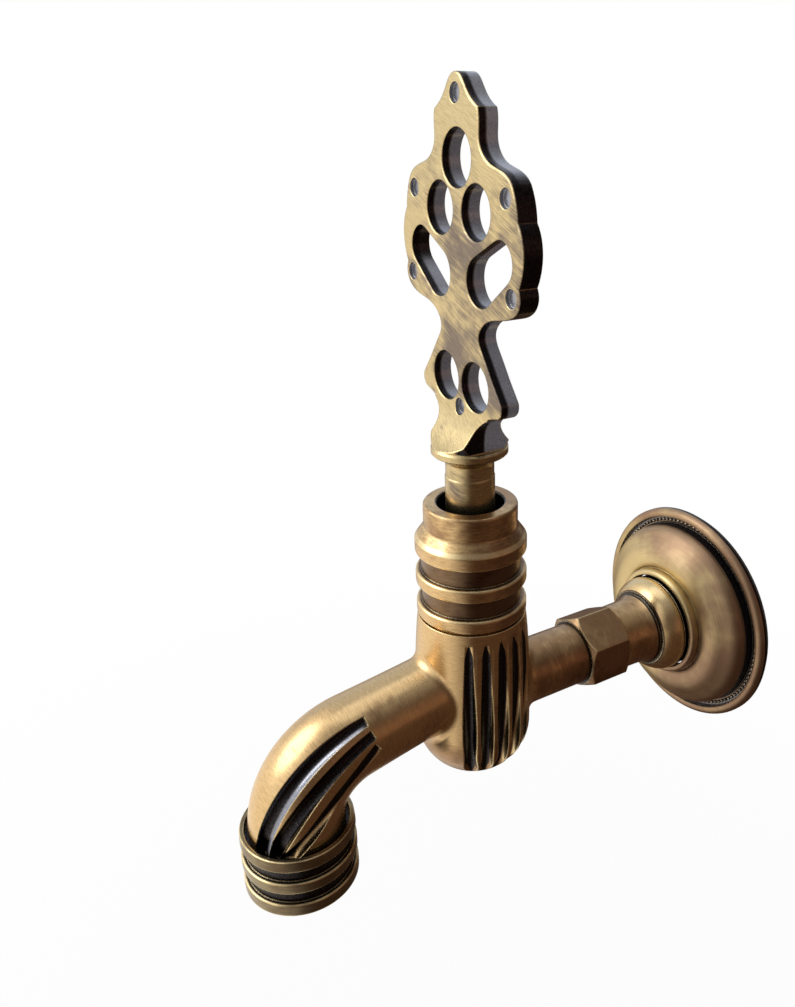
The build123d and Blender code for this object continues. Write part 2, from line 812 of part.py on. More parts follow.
# Ribbed outlet collar, screwed on to the spout's nose, with a ledge for the aerator
with BuildPart() as outlet_collar:
    with BuildSketch(outlet_plane) as collar_profile:
        with BuildLine():
            outline = [(collar_mouth_r, collar_top), (collar_lip_r, collar_top)]
            for number in range(collar_bands):
                band_foot = collar_top - collar_band_height - number * collar_band_pitch
                if number:
                    outline.append((collar_r, band_foot + collar_band_height))
                outline.append((collar_r, band_foot))
                if number < collar_bands - 1:
                    outline.append((collar_groove_r, band_foot))
                    outline.append((collar_groove_r, band_foot + collar_band_height - collar_band_pitch))
            outline += [
                (collar_r - collar_foot_inset, collar_foot),
                (aerator_barrel_r + seal_clearance, collar_foot),
                (aerator_barrel_r + seal_clearance, aerator_ledge),
                (nose_r + thread_clearance, aerator_ledge),
                (nose_r + thread_clearance, shoulder_seat_z),
                (collar_mouth_r, shoulder_seat_z),
            ]
            Polyline(*outline, close=True)
        make_face()
        fillet(collar_profile.vertices().filter_by(near_radius(collar_r)), collar_band_round)
        fillet(collar_profile.vertices().filter_by(near_radius(collar_lip_r)), collar_lip_round)
        fillet(collar_profile.vertices().filter_by(near_radius(collar_r - collar_foot_inset)), collar_foot_round)
    revolve(axis=outlet_axis)

outlet_collar.part.label = "outlet_collar"
export_step(outlet_collar.part, "parts/outlet_collar.step")

# Flat gasket under the spout's nose
outlet_gasket = ring(outlet_y, nose_end - gasket_thickness, nose_end, nose_bore_r + loose_clearance, nose_r)
outlet_gasket.part.label = "outlet_gasket"
export_step(outlet_gasket.part, "parts/outlet_gasket.step")

# Aerator housing: a flanged barrel with an inner ledge for the mesh
with BuildPart() as aerator_housing:
    with BuildSketch(outlet_plane):
        with BuildLine():
            Polyline(
                (aerator_bore_r, aerator_top),
                (nose_r, aerator_top),
                (nose_r, aerator_ledge),
                (aerator_barrel_r, aerator_ledge),
                (aerator_barrel_r, aerator_foot),
                (aerator_mouth_r, aerator_foot),
                (aerator_mouth_r, mesh_foot),
                (aerator_bore_r, mesh_foot),
                close=True,
            )
        make_face()
    revolve(axis=outlet_axis)

aerator_housing.part.label = "aerator_housing"
export_step(aerator_housing.part, "parts/aerator_housing.step")


def pierced(foot, height, pitch, hole):
    """A round plate that fits the aerator's bore, pierced with square holes on a square pitch."""
    reach = aerator_bore_r - seal_clearance - hole
    count = int(reach / pitch)
    with BuildPart() as made:
        with BuildSketch(level(outlet_y, foot)):
            Circle(aerator_bore_r - seal_clearance)
            for column in range(-count, count + 1):
                for row in range(-count, count + 1):
                    if sqrt(column ** 2 + row ** 2) * pitch < reach:
                        with Locations((column * pitch, row * pitch)):
                            Rectangle(hole, hole, mode=Mode.SUBTRACT)
        extrude(amount=height)
    return made


aerator_mesh = pierced(mesh_foot, mesh_thickness, mesh_pitch, mesh_hole)
aerator_mesh.part.label = "aerator_mesh"
export_step(aerator_mesh.part, "parts/aerator_mesh.step")

vane_foot = mesh_foot + mesh_thickness
aerator_straightener = pierced(vane_foot, straightener_height, vane_pitch, vane_pitch - vane_thickness)
aerator_straightener.part.label = "aerator_straightener"
export_step(aerator_straightener.part, "parts/aerator_straightener.step")

# Hexagon adapter, with its turned collar and the sleeve that the rosette slides on
with BuildPart() as inlet_adapter:
    with BuildSketch(across(-pipe_end)) as hexagon:
        RegularPolygon(hex_across / 2, 6, major_radius=False, rotation=30 + hex_clocking)
    extrude(amount=hex_length)
    with BuildSketch(inlet_plane):
        with BuildLine():
            Polyline(
                (-pipe_end, 0),
                (-pipe_end, hex_face_r),
                (-pipe_end + hex_corner_cut, hex_corner_r),
                (hex_end - hex_corner_cut, hex_corner_r),
                (hex_end, hex_face_r),
                (hex_end, 0),
                close=True,
            )
        make_face()
    revolve(axis=inlet_axis, mode=Mode.INTERSECT)
    with BuildSketch(inlet_plane) as adapter_profile:
        with BuildLine():
            flare = Spline(
                (hex_end, adapter_neck_r),
                (hex_end + adapter_neck_length * 0.5, adapter_neck_r + 0.1),
                (hex_end + adapter_neck_length, adapter_neck_r + 1.6),
                tangents=((1, 0), (1, 0.8)),
            )
            bead = ThreePointArc(
                (hex_end + adapter_neck_length + 0.5, adapter_neck_r + 2.2),
                (collar_end - adapter_collar_length * 0.55, adapter_collar_r - 1.0),
                (collar_end - adapter_edge_width, adapter_collar_r),
            )
            Polyline(
                flare @ 1,
                (hex_end + adapter_neck_length + 0.5, adapter_neck_r + 1.0),
                bead @ 0,
            )
            Polyline(
                bead @ 1,
                (collar_end, adapter_collar_r),
                (collar_end, adapter_sleeve_r - adapter_seam_depth),
                (collar_end + adapter_seam_width, adapter_sleeve_r - adapter_seam_depth),
                (collar_end + adapter_seam_width, adapter_sleeve_r),
                (sleeve_end, adapter_sleeve_r),
                (sleeve_end, tail_r + thread_clearance),
                (sleeve_end - tail_into_adapter, tail_r + thread_clearance),
                (sleeve_end - tail_into_adapter, adapter_bore_r),
                (hex_end, adapter_bore_r),
                flare @ 0,
            )
        make_face()
    revolve(axis=inlet_axis)
    with BuildSketch(across(-pipe_end)):
        Circle(pipe_spigot_r + thread_clearance)
    extrude(amount=pipe_spigot_length + adapter_gasket_thickness, mode=Mode.SUBTRACT)
    with BuildSketch(across(-pipe_end)):
        Circle(adapter_bore_r)
    extrude(amount=sleeve_end + pipe_end, mode=Mode.SUBTRACT)

inlet_adapter.part.label = "inlet_adapter"
export_step(inlet_adapter.part, "parts/inlet_adapter.step")

# Fibre gasket at the bottom of the adapter's socket
with BuildPart() as adapter_gasket:
    with BuildSketch(across(-pipe_end + pipe_spigot_length)):
        Circle(pipe_spigot_r - loose_clearance)
        Circle(adapter_bore_r, mode=Mode.SUBTRACT)
    extrude(amount=adapter_gasket_thickness)

adapter_gasket.part.label = "adapter_gasket"
export_step(adapter_gasket.part, "parts/adapter_gasket.step")

# Threaded tail: screwed into the adapter, relieved, then free to go into the wall
with BuildPart() as inlet_tail:
    with BuildSketch(inlet_plane):
        with BuildLine():
            Polyline(
                (sleeve_end - tail_into_adapter, tail_bore_r),
                (sleeve_end - tail_into_adapter, tail_r),
                (sleeve_end, tail_r),
                (sleeve_end, tail_root_r),
                (sleeve_end + tail_relief, tail_root_r),
                (sleeve_end + tail_relief, tail_r),
                (tail_into_wall - tail_end_chamfer, tail_r),
                (tail_into_wall, tail_r - tail_end_chamfer),
                (tail_into_wall, tail_bore_r),
                close=True,
            )
        make_face()
    revolve(axis=inlet_axis)

inlet_tail.part.label = "inlet_tail"
export_step(inlet_tail.part, "parts/inlet_tail.step")

# Wall rosette: a hollow turned shell with a hub round the sleeve, a dome, a groove and a rim.
# The points below are (Y, radius) on the section through the inlet axis.
hub_outer_r = rosette_bore_r + rosette_hub_wall
edge_y = rosette_back - rosette_edge_height
rim_top_y = edge_y - rosette_rim_height
groove_y = rim_top_y + rosette_groove_depth
dome_edge_y = rosette_back - rosette_dome_edge
dome_top_y = rosette_back - rosette_dome_height
dome_width = rosette_dome_r - hub_outer_r
dome_side = (rosette_back - rosette_dome_height * 0.82, rosette_dome_r - dome_width * dome_side_share)
dome_middle = (dome_top_y, rosette_dome_r - dome_width * dome_middle_share)
crease_y = dome_top_y + 0.6

with BuildPart() as rosette:
    with BuildSketch(inlet_plane):
        with BuildLine():
            Polyline(
                (rosette_back, rosette_dome_r - rosette_wall),
                (rosette_back, rosette_r - rosette_back_step),
                (rosette_back - rosette_back_step, rosette_r),
                (edge_y, rosette_r),
            )
            rim = ThreePointArc(
                (edge_y, rosette_r),
                (rim_top_y + 0.1, (rosette_r + rosette_groove_r) / 2 + 0.7),
                (rim_top_y, rosette_groove_r),
            )
            Polyline(
                rim @ 1,
                (groove_y, rosette_groove_r - 0.4),
                (groove_y, rosette_dome_r),
                (dome_edge_y, rosette_dome_r),
            )
            dome = Spline(
                (dome_edge_y, rosette_dome_r),
                dome_side,
                dome_middle,
                (crease_y, hub_outer_r + 0.2),
                tangents=((-1, -0.15), (1, -0.9)),
            )
            Polyline(
                dome @ 1,
                (crease_y, hub_outer_r),
                (rosette_front + rosette_hub_round, hub_outer_r),
            )
            lip = ThreePointArc(
                (rosette_front + rosette_hub_round, hub_outer_r),
                (rosette_front + rosette_hub_round * 0.293, hub_outer_r - rosette_hub_round * 0.293),
                (rosette_front, hub_outer_r - rosette_hub_round),
            )
            Polyline(
                lip @ 1,
                (rosette_front, rosette_bore_r),
                (crease_y + rosette_wall, rosette_bore_r),
                (dome_top_y + rosette_wall, dome_middle[1]),
                (dome_side[0] + rosette_wall, dome_side[1] - rosette_wall * 0.7),
                (dome_edge_y + rosette_wall, rosette_dome_r - rosette_wall),
                (rosette_back, rosette_dome_r - rosette_wall),
            )
        make_face()
    revolve(axis=inlet_axis)

rosette.part.label = "rosette"
export_step(rosette.part, "parts/rosette.step")

# Foam gasket between the rosette and the wall
with BuildPart() as rosette_gasket:
    with BuildSketch(across(-rosette_gasket_thickness)):
        Circle(rosette_r - rosette_back_step - loose_clearance)
        Circle(rosette_r - rosette_back_step - loose_clearance - rosette_gasket_width, mode=Mode.SUBTRACT)
    extrude(amount=rosette_gasket_thickness)

rosette_gasket.part.label = "rosette_gasket"
export_step(rosette_gasket.part, "parts/rosette_gasket.step")
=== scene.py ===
"""Looks of a wall-mounted hammam basin tap in antique brass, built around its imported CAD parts."""
import math

import bpy
from mathutils import Matrix, Vector


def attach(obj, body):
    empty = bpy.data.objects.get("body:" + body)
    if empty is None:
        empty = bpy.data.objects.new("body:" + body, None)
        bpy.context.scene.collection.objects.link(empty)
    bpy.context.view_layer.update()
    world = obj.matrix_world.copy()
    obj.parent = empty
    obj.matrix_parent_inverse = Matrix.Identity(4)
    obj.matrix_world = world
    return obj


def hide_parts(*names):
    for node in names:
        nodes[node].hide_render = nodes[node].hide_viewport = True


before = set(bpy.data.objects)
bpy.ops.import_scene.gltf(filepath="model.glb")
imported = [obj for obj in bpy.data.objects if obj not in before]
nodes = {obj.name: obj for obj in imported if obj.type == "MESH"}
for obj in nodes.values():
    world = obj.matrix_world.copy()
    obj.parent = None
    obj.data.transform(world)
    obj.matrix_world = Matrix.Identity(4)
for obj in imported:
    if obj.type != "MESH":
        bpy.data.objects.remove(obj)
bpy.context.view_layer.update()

# Places in metres, in the shared frame
body_y = -0.096
outlet_y = -0.1578

# The same places in millimetres, for the materials
body_axis = body_y * 1000
outlet_axis = outlet_y * 1000

# Spout's centre line and skin
spout_root_z = 8.3
spout_fall = math.radians(9.85)
spout_bend_r = 23.0
spout_root_r = 12.1
spout_swell = 2.35
bend_centre = (outlet_axis + spout_bend_r, -21.78)
bend_turn = math.pi / 2 - spout_fall
run_length = 43.37
line_length = run_length + spout_bend_r * bend_turn

# Handle: where its height is counted from, its foot, its front face, and its dimples by offset and height
handle_zero = 86.0
handle_foot_top = 97.3
plate_front = -99.0
plate_dimples = ((0.0, 93.3), (23.3, 69.6), (25.9, 46.2), (0.0, 11.8))
dimple_r = 2.5
dimple_depth = 1.9

# Bonnet: the span that holds its grooves, how deep their floors begin, and the edges of its rings
bonnet_grooves = (36.0, 56.5)
groove_skin = (16.3, 15.5)
ring_limits = (36.4, 42.4, 46.7, 52.7)
cone_top = 60.9
mouth_r = 10.2

# Adapter, by its places along the pipe
hexagon_front = (-56.0, -55.35)
hexagon_back = -38.0
neck_back = -26.0
neck_groove = (-26.6, -25.0)
bead_span = (-24.4, -19.4)
sleeve_front = -18.9

# Rosette, by radius from the pipe's axis
hub_bore_r = 17.65
hub_crease = (19.7, 20.4)
rim_groove = (33.9, 34.8)
groove_floor = (35.0, 37.0)
rosette_edge_r = 39.95

# Barrel's gouges, as in the CAD: the cutter's radius, its track by reach and height, and how many lie aside
barrel_gouge_r = 2.1
barrel_gouge_track = ((15.07, -22.1), (18.975, 4.64), (19.05, 28.16))
barrel_gouge_pitch = math.radians(17.0)
barrel_gouges_aside = 2.0

# Spout's gouges, as in the CAD: the cutter's radius, then its track by share of the line, angle and lift
spout_gouges = (
    (2.6, ((0.53, 41.5, 2.0), (0.78, 43.5, 0.7), (1.06, 22.0, 0.7))),
    (2.4, ((0.525, 62.0, 1.8), (0.78, 72.0, 0.8), (1.06, 35.0, 0.8))),
    (2.1, ((0.525, 80.0, 1.5), (0.80, 101.5, 0.9), (1.06, 47.0, 0.9))),
)

# Camera, solved from the photograph's turned rings
image_width = 795
image_height = 1007
sensor = 36
focal_pixels = 862.8
principal_point = (498.2, 467.6)
camera_place = Vector((0.20232, -0.21523, 0.17229))
camera_azimuth = math.radians(57.46)
camera_elevation = math.radians(21.79)
camera_roll = math.radians(-0.05)


def add_camera():
    """The photograph's viewpoint."""
    camera = bpy.data.objects.new("camera", bpy.data.cameras.new("camera"))
    bpy.context.scene.collection.objects.link(camera)
    camera.data.sensor_width = sensor
    camera.data.lens = focal_pixels * sensor / image_height
    camera.data.shift_x = (image_width / 2 - principal_point[0]) / image_height
    camera.data.shift_y = (principal_point[1] - image_height / 2) / image_height
    back = Vector((
        math.sin(camera_azimuth) * math.cos(camera_elevation),
        -math.cos(camera_azimuth) * math.cos(camera_elevation),
        math.sin(camera_elevation),
    ))
    right = Vector((math.cos(camera_azimuth), math.sin(camera_azimuth), 0))
    up = back.cross(right)
    across = right * math.cos(camera_roll) + up * math.sin(camera_roll)
    upward = up * math.cos(camera_roll) - right * math.sin(camera_roll)
    camera.matrix_world = Matrix((
        (across.x, upward.x, back.x, camera_place.x),
        (across.y, upward.y, back.y, camera_place.y),
        (across.z, upward.z, back.z, camera_place.z),
        (0, 0, 0, 1),
    ))
    camera.data.clip_start = 0.01
    camera.data.clip_end = 20
    bpy.context.scene.camera = camera


# Colours of the metal
gold = (0.66, 0.465, 0.24)
bronze = (0.36, 0.225, 0.12)
smudge = (0.20, 0.16, 0.13)
olive_gold = (0.60, 0.48, 0.26)
pale_gold = (0.62, 0.49, 0.26)
rose_bronze = (0.33, 0.215, 0.14)
olive = (0.27, 0.22, 0.13)
dark_olive = (0.17, 0.125, 0.075)
umber = (0.17, 0.085, 0.05)
new_brass = (0.62, 0.47, 0.24)
# bright_brass paints worn edges, and also the painted highlights on rib edges and ring slopes
bright_brass = (0.86, 0.70, 0.40)

# The film: how fine its clouds are, how much clouds and lines vary it, and how worn brown and umber begin
broad_scale = 0.055
cloudy_scale = 0.22
grain_scale = 2.2
broad_share = 0.78
cloudy_share = 0.22
band_share = 0.16
scratch_share = 0.24
brown_limits = (0.36, 0.12)
umber_limits = (0.10, -0.12)
film_reach = 0.22
hair_dark = 0.18
hair_light = 0.10

# Roughness: what scratches, film and grain add to it, and how glossy a cut is
scratch_rough = 0.07
film_rough = 0.06
grain_rough = 0.05
cut_gloss = 0.06

# Black oxide, and the painted steel-blue highlight on a cut's lit side, each in two tones
oxide = ((0.014, 0.012, 0.013), (0.05, 0.048, 0.054))
steel_blue_highlight = ((0.50, 0.52, 0.61), (0.72, 0.74, 0.84))


class Nodes:
    """A short way to write a material's node tree."""

    def __init__(self, tree):
        self.tree = tree
        tree.nodes.clear()

    def fill(self, socket, value):
        if isinstance(value, bpy.types.NodeSocket):
            self.tree.links.new(value, socket)
        else:
            socket.default_value = value

    def node(self, kind, inputs=None, **settings):
        made = self.tree.nodes.new(kind)
        for name, value in settings.items():
            setattr(made, name, value)
        for name, value in (inputs or {}).items():
            self.fill(made.inputs[name], value)
        return made

    def math(self, operation, first, second=0.0):
        return self.node("ShaderNodeMath", {0: first, 1: second}, operation=operation).outputs[0]

    def add(self, first, *others):
        for other in others:
            first = self.math("ADD", first, other)
        return first

    def subtract(self, first, second):
        return self.math("SUBTRACT", first, second)

    def multiply(self, first, *others):
        for other in others:
            first = self.math("MULTIPLY", first, other)
        return first

    def most(self, first, *others):
        """The largest of some numbers."""
        for other in others:
            first = self.math("MAXIMUM", first, other)
        return first

    def dot(self, first, second):
        made = self.node("ShaderNodeVectorMath", {0: first, 1: second}, operation="DOT_PRODUCT")
        return made.outputs["Value"]

    def length(self, first, second):
        return self.math("SQRT", self.add(self.multiply(first, first), self.multiply(second, second)))

    def mix(self, factor, first, second, blend="MIX"):
        made = self.node("ShaderNodeMix", data_type="RGBA", blend_type=blend)
        for socket, value in ((0, factor), (6, first), (7, second)):
            self.fill(made.inputs[socket], value)
        return made.outputs[2]

    def choose(self, factor, first, second):
        """One number or another, by a factor from 0 to 1."""
        return self.node("ShaderNodeMix", {0: factor, 2: first, 3: second}, data_type="FLOAT").outputs[0]

    def ramp(self, value, low, high, low_out=0.0, high_out=1.0):
        return self.node(
            "ShaderNodeMapRange",
            {"Value": value, "From Min": low, "From Max": high, "To Min": low_out, "To Max": high_out},
            interpolation_type="SMOOTHSTEP",
        ).outputs[0]

    def between(self, value, low, high, soft):
        """1 where the value lies between two limits."""
        rise = self.ramp(value, low - soft, low + soft)
        return self.multiply(rise, self.ramp(value, high + soft, high - soft))

    def noise(self, vector, scale, detail, rough=0.5):
        return self.node(
            "ShaderNodeTexNoise", {"Vector": vector, "Scale": scale, "Detail": detail, "Roughness": rough}
        ).outputs["Fac"]

    def triple(self, first, second, third=0.0):
        return self.node("ShaderNodeCombineXYZ", {0: first, 1: second, 2: third}).outputs[0]

    def parts(self, vector):
        return self.node("ShaderNodeSeparateXYZ", {0: vector}).outputs


def colour(red, green, blue):
    return (red, green, blue, 1.0)


class Marks:
    """Where a point lies for the brush lines: round a turned piece and along it, in millimetres."""

    def __init__(self, sine, cosine, along, tangent):
        self.sine = sine
        self.cosine = cosine
        self.along = along
        self.tangent = tangent


def turned(make, first, second, along, tangent):
    """Marks of a piece turned about an axis, from its two offsets across the axis."""
    radius = make.length(first, second)
    return Marks(
        make.math("DIVIDE", first, radius),
        make.math("DIVIDE", second, radius),
        make.add(along, radius),
        tangent,
    )


def about_upright(axis_y):
    """Marks about a vertical axis."""
    def marks(make, split):
        across = make.subtract(split[1], axis_y)
        tangent = make.triple(make.multiply(across, -1.0), split[0])
        return turned(make, split[0], across, split[2], tangent)
    return marks


def about_inlet(make, split):
    """Marks about the inlet's axis."""
    tangent = make.triple(split[2], 0.0, make.multiply(split[0], -1.0))
    return turned(make, split[0], split[2], split[1], tangent)


def along_spout(make, split):
    """How far along the spout's centre line a point is."""
    back = make.subtract(split[1], body_axis)
    rise = make.subtract(split[2], spout_root_z)
    run = make.add(make.multiply(back, -math.cos(spout_fall)), make.multiply(rise, -math.sin(spout_fall)))
    out = make.subtract(bend_centre[0], split[1])
    up = make.subtract(split[2], bend_centre[1])
    turn = make.math("ARCTAN2", up, out)
    bent = make.subtract(line_length, make.multiply(turn, spout_bend_r))
    return make.choose(make.math("GREATER_THAN", turn, bend_turn), bent, run)


def cast_body_marks(make, split):
    """Marks across the spout, round the barrel and along the pipe."""
    spout_side = (-17.0, -20.0)
    pipe_side = (18.0, 20.0)
    spout_grain = (0.06, 0.05)
    pipe_grain = 0.08
    across = make.subtract(split[1], body_axis)
    on_spout = make.ramp(across, *spout_side)
    on_pipe = make.ramp(across, *pipe_side)
    round_barrel = turned(make, split[0], across, split[2], None)
    sine = make.choose(on_spout, round_barrel.sine, make.multiply(split[0], spout_grain[0]))
    cosine = make.choose(on_spout, round_barrel.cosine, make.multiply(split[2], spout_grain[1]))
    lengthwise = make.choose(on_spout, round_barrel.along, along_spout(make, split))
    sine = make.choose(on_pipe, sine, make.multiply(split[0], pipe_grain))
    cosine = make.choose(on_pipe, cosine, make.multiply(split[2], pipe_grain))
    lengthwise = make.choose(on_pipe, lengthwise, split[1])
    return Marks(sine, cosine, lengthwise, None)


def flat_marks(make, split):
    """Brush lines that cross the flat handle at a slant."""
    slant = 0.4
    grain = (0.05, 0.1)
    lengthwise = make.add(make.multiply(split[0], slant), split[2])
    return Marks(make.multiply(split[0], grain[0]), make.multiply(split[1], grain[1]), lengthwise, None)


def gouge_wall(make, place, cutter_r, first, middle, last, one_sided=False):
    """1 on the wall left by a round cutter that ran on the arc through three points.

    The mask is pointed at both ends, or on one side of them. The second value says how far to one side of the
    groove a place lies, from -1 to 1, and the third how far inside the groove's ends it lies.
    """
    skin_soft = (0.16, 0.03)
    tip_slope = 0.3
    tip_width = 0.2
    tip_soft = (-0.1, 0.15)
    end_soft = (-0.2, 0.0)
    from_last = first - last
    across_last = middle - last
    axis = from_last.cross(across_last)
    toward_centre = across_last * from_last.length_squared - from_last * across_last.length_squared
    centre = last + toward_centre.cross(axis) / (2 * axis.length_squared)
    radius = (first - centre).length
    axis.normalize()
    if axis.y < 0:
        axis = -axis

    def ahead(point):
        """How far a place lies past a point of the track, along the track."""
        along = axis.cross(point - centre).normalized()
        if along.dot(last - first) < 0:
            along = -along
        return make.subtract(make.dot(place, along), along.dot(point))

    offset = make.node("ShaderNodeVectorMath", {0: place, 1: centre}, operation="SUBTRACT").outputs[0]
    aside = make.dot(offset, axis)
    reach = make.dot(offset, offset)
    in_plane = make.math("SQRT", make.subtract(reach, make.multiply(aside, aside)))
    away = make.length(make.subtract(in_plane, radius), aside)
    wall = make.ramp(away, cutter_r + skin_soft[0], cutter_r + skin_soft[1])
    inside = make.math("MINIMUM", ahead(first), make.multiply(ahead(last), -1.0))
    width = aside if one_sided else make.math("ABSOLUTE", aside)
    spare = make.subtract(make.add(make.multiply(inside, tip_slope), tip_width), width)
    wall = make.multiply(wall, make.ramp(spare, *tip_soft))
    if one_sided:
        wall = make.multiply(wall, make.ramp(inside, *end_soft))
    return wall, make.math("DIVIDE", aside, cutter_r), inside


def spout_point(share, angle, lift):
    """A point off the spout's skin, angle degrees round from the outside of its bend."""
    length = min(share, 1.0) * line_length
    turn = spout_fall + max(length - run_length, 0.0) / spout_bend_r
    outward = Vector((0.0, -math.sin(turn), math.cos(turn)))
    if length < run_length:
        along = Vector((0.0, -math.cos(turn), -math.sin(turn)))
        middle = Vector((0.0, body_axis, spout_root_z)) + along * length
    else:
        middle = Vector((0.0, *bend_centre)) + outward * spout_bend_r
    past = Vector((0.0, 0.0, -max(share - 1.0, 0.0) * line_length))
    skin = Vector((1.0, 0.0, 0.0)) * math.sin(math.radians(angle)) + outward * math.cos(math.radians(angle))
    skin_r = spout_root_r + spout_swell * min(share, 1.0) ** 2
    return middle + past + skin * (skin_r + lift)


def barrel_gouge(make, split):
    """The wall of the barrel's nearest gouge, and how far to one side of it a place lies."""
    side = make.math("ABSOLUTE", split[0])
    across = make.subtract(split[1], body_axis)
    radius = make.length(side, across)
    turn = make.math("ARCTAN2", across, side)
    number = make.math("ROUND", make.math("DIVIDE", turn, barrel_gouge_pitch))
    number = make.most(make.math("MINIMUM", number, barrel_gouges_aside), -barrel_gouges_aside)
    turn = make.subtract(turn, make.multiply(number, barrel_gouge_pitch))
    place = make.triple(
        make.multiply(radius, make.math("COSINE", turn)),
        make.multiply(radius, make.math("SINE", turn)),
        split[2],
    )
    track = [Vector((reach, 0.0, height)) for reach, height in barrel_gouge_track]
    return gouge_wall(make, place, barrel_gouge_r, *track)


def rib_edge_highlights(make, split):
    """Painted highlight on the left edges of the barrel's ribs, where light from the left catches them."""
    beside_groove = (0.86, 1.16)
    heights = (-19.0, 26.0)
    aside = barrel_gouge(make, split)[1]
    edge = make.between(aside, *beside_groove, 0.08)
    return make.multiply(edge, make.between(split[2], *heights, 2.0))


def body_cuts(make, split):
    """The gouges in the barrel and in the spout, black on their left from oxide and painted shade, and a
    painted steel-blue highlight on the first spout gouge's lit wall.
    """
    barrel_black = (0.8, 0.6)
    first_black = (0.85, 0.65)
    other_black = (0.45, 0.15)
    lit_beside = (-0.35, 0.2)
    lit_inside = (0.5, 4.0)
    wall, aside = barrel_gouge(make, split)[:2]
    # Black only towards each gouge's left wall: oxide, with painted shade on the wall turned from the light
    wall = make.multiply(wall, make.ramp(aside, *barrel_black))
    lit = 0.0
    place = make.triple(make.math("ABSOLUTE", split[0]), split[1], split[2])
    for number, (cutter_r, points) in enumerate(spout_gouges):
        track = [spout_point(*point) for point in points]
        spout_wall, aside, inside = gouge_wall(make, place, cutter_r, *track, one_sided=True)
        if number == 0:
            # Painted steel-blue highlight on the first spout gouge's wall that faces the light
            lit = make.multiply(spout_wall, make.ramp(aside, *lit_beside), make.ramp(inside, *lit_inside))
            spout_wall = make.multiply(spout_wall, make.ramp(aside, *first_black))
        else:
            spout_wall = make.multiply(spout_wall, make.ramp(aside, *other_black))
        wall = make.most(wall, spout_wall)
    return wall, lit


def bonnet_cuts(make, split):
    """The two grooves between the bonnet's rings, the dark creases at their edges and the bonnet's inside."""
    groove_black = 0.4
    neck_crease = (cone_top - 0.1, cone_top + 0.7)
    neck_crease_black = 0.5
    edge_reach = 0.3
    crease_r = (13.0, 14.0)
    crease_black = 0.6
    radius = make.length(split[0], make.subtract(split[1], body_axis))
    in_groove = make.ramp(radius, *groove_skin)
    groove = make.multiply(in_groove, make.between(split[2], *bonnet_grooves, 0.4))
    mouth = make.ramp(radius, mouth_r + 0.7, mouth_r)
    crease = make.multiply(make.between(split[2], *neck_crease, 0.5), neck_crease_black)
    for height in ring_limits:
        crease = make.most(crease, make.between(split[2], height - edge_reach, height + edge_reach, 0.4))
    crease = make.multiply(crease, in_groove, make.ramp(radius, *crease_r, 0.0, crease_black))
    return make.most(make.multiply(groove, groove_black), crease, mouth), None


def handle_cuts(make, split):
    """The plate's edges, hole walls and dimples, and the sides of its foot, which kept their black film.

    The dimples and the deep part of the hole walls also get a painted steel-blue highlight.
    """
    edge_on = (0.62, 0.3)
    side_on = (0.45, 0.75)
    behind_face = (plate_front + 1.8, plate_front + 2.8)
    lit_side = (27.0, 20.0)
    lit_share = 0.5
    normal = make.parts(make.node("ShaderNodeTexCoord").outputs["Normal"])
    plate = make.ramp(make.math("ABSOLUTE", normal[1]), *edge_on)
    plate = make.multiply(plate, make.ramp(split[2], handle_foot_top - 0.3, handle_foot_top + 0.3))
    foot = make.ramp(make.math("ABSOLUTE", normal[0]), *side_on)
    foot = make.multiply(foot, make.between(split[2], handle_zero + 0.3, handle_foot_top, 0.2))
    inward = make.math("ABSOLUTE", split[0])
    dimple = 0.0
    for aside, height in plate_dimples:
        away = make.length(make.subtract(inward, aside), make.subtract(split[2], handle_zero + height))
        dimple = make.most(dimple, make.ramp(away, dimple_r + 0.15, dimple_r - 0.05))
    in_front = make.between(split[1], plate_front + 0.1, plate_front + dimple_depth, 0.1)
    dimple = make.multiply(dimple, in_front)
    # Painted steel-blue highlight on the dimples and on the deep part of the hole walls
    hole_side = make.multiply(make.ramp(inward, *lit_side), make.ramp(split[1], *behind_face))
    lit = make.multiply(make.most(dimple, hole_side), lit_share)
    return make.most(plate, foot, dimple), lit


def collar_cuts(make, split):
    """The collar's grooves and the gap round the spout."""
    groove_r = (16.75, 16.1)
    below_top = (-22.2, -22.6)
    groove_black = 0.75
    radius = make.length(split[0], make.subtract(split[1], outlet_axis))
    groove = make.multiply(make.ramp(radius, *groove_r), make.ramp(split[2], *below_top))
    return make.multiply(groove, groove_black), None


def adapter_cuts(make, split):
    """The black ring before the hexagon, the turned groove behind the neck and the sleeve."""
    groove_black = 0.9
    front = make.between(split[1], *hexagon_front, 0.1)
    groove = make.multiply(make.between(split[1], *neck_groove, 0.3), groove_black)
    sleeve = make.ramp(split[1], sleeve_front, sleeve_front + 0.4)
    return make.most(front, groove, sleeve), None


def bead_wear(make, split):
    """The adapter's collar bead, which the brush wore bright."""
    bright_share = 0.5
    return make.multiply(make.between(split[1], *bead_span, 0.8), bright_share)


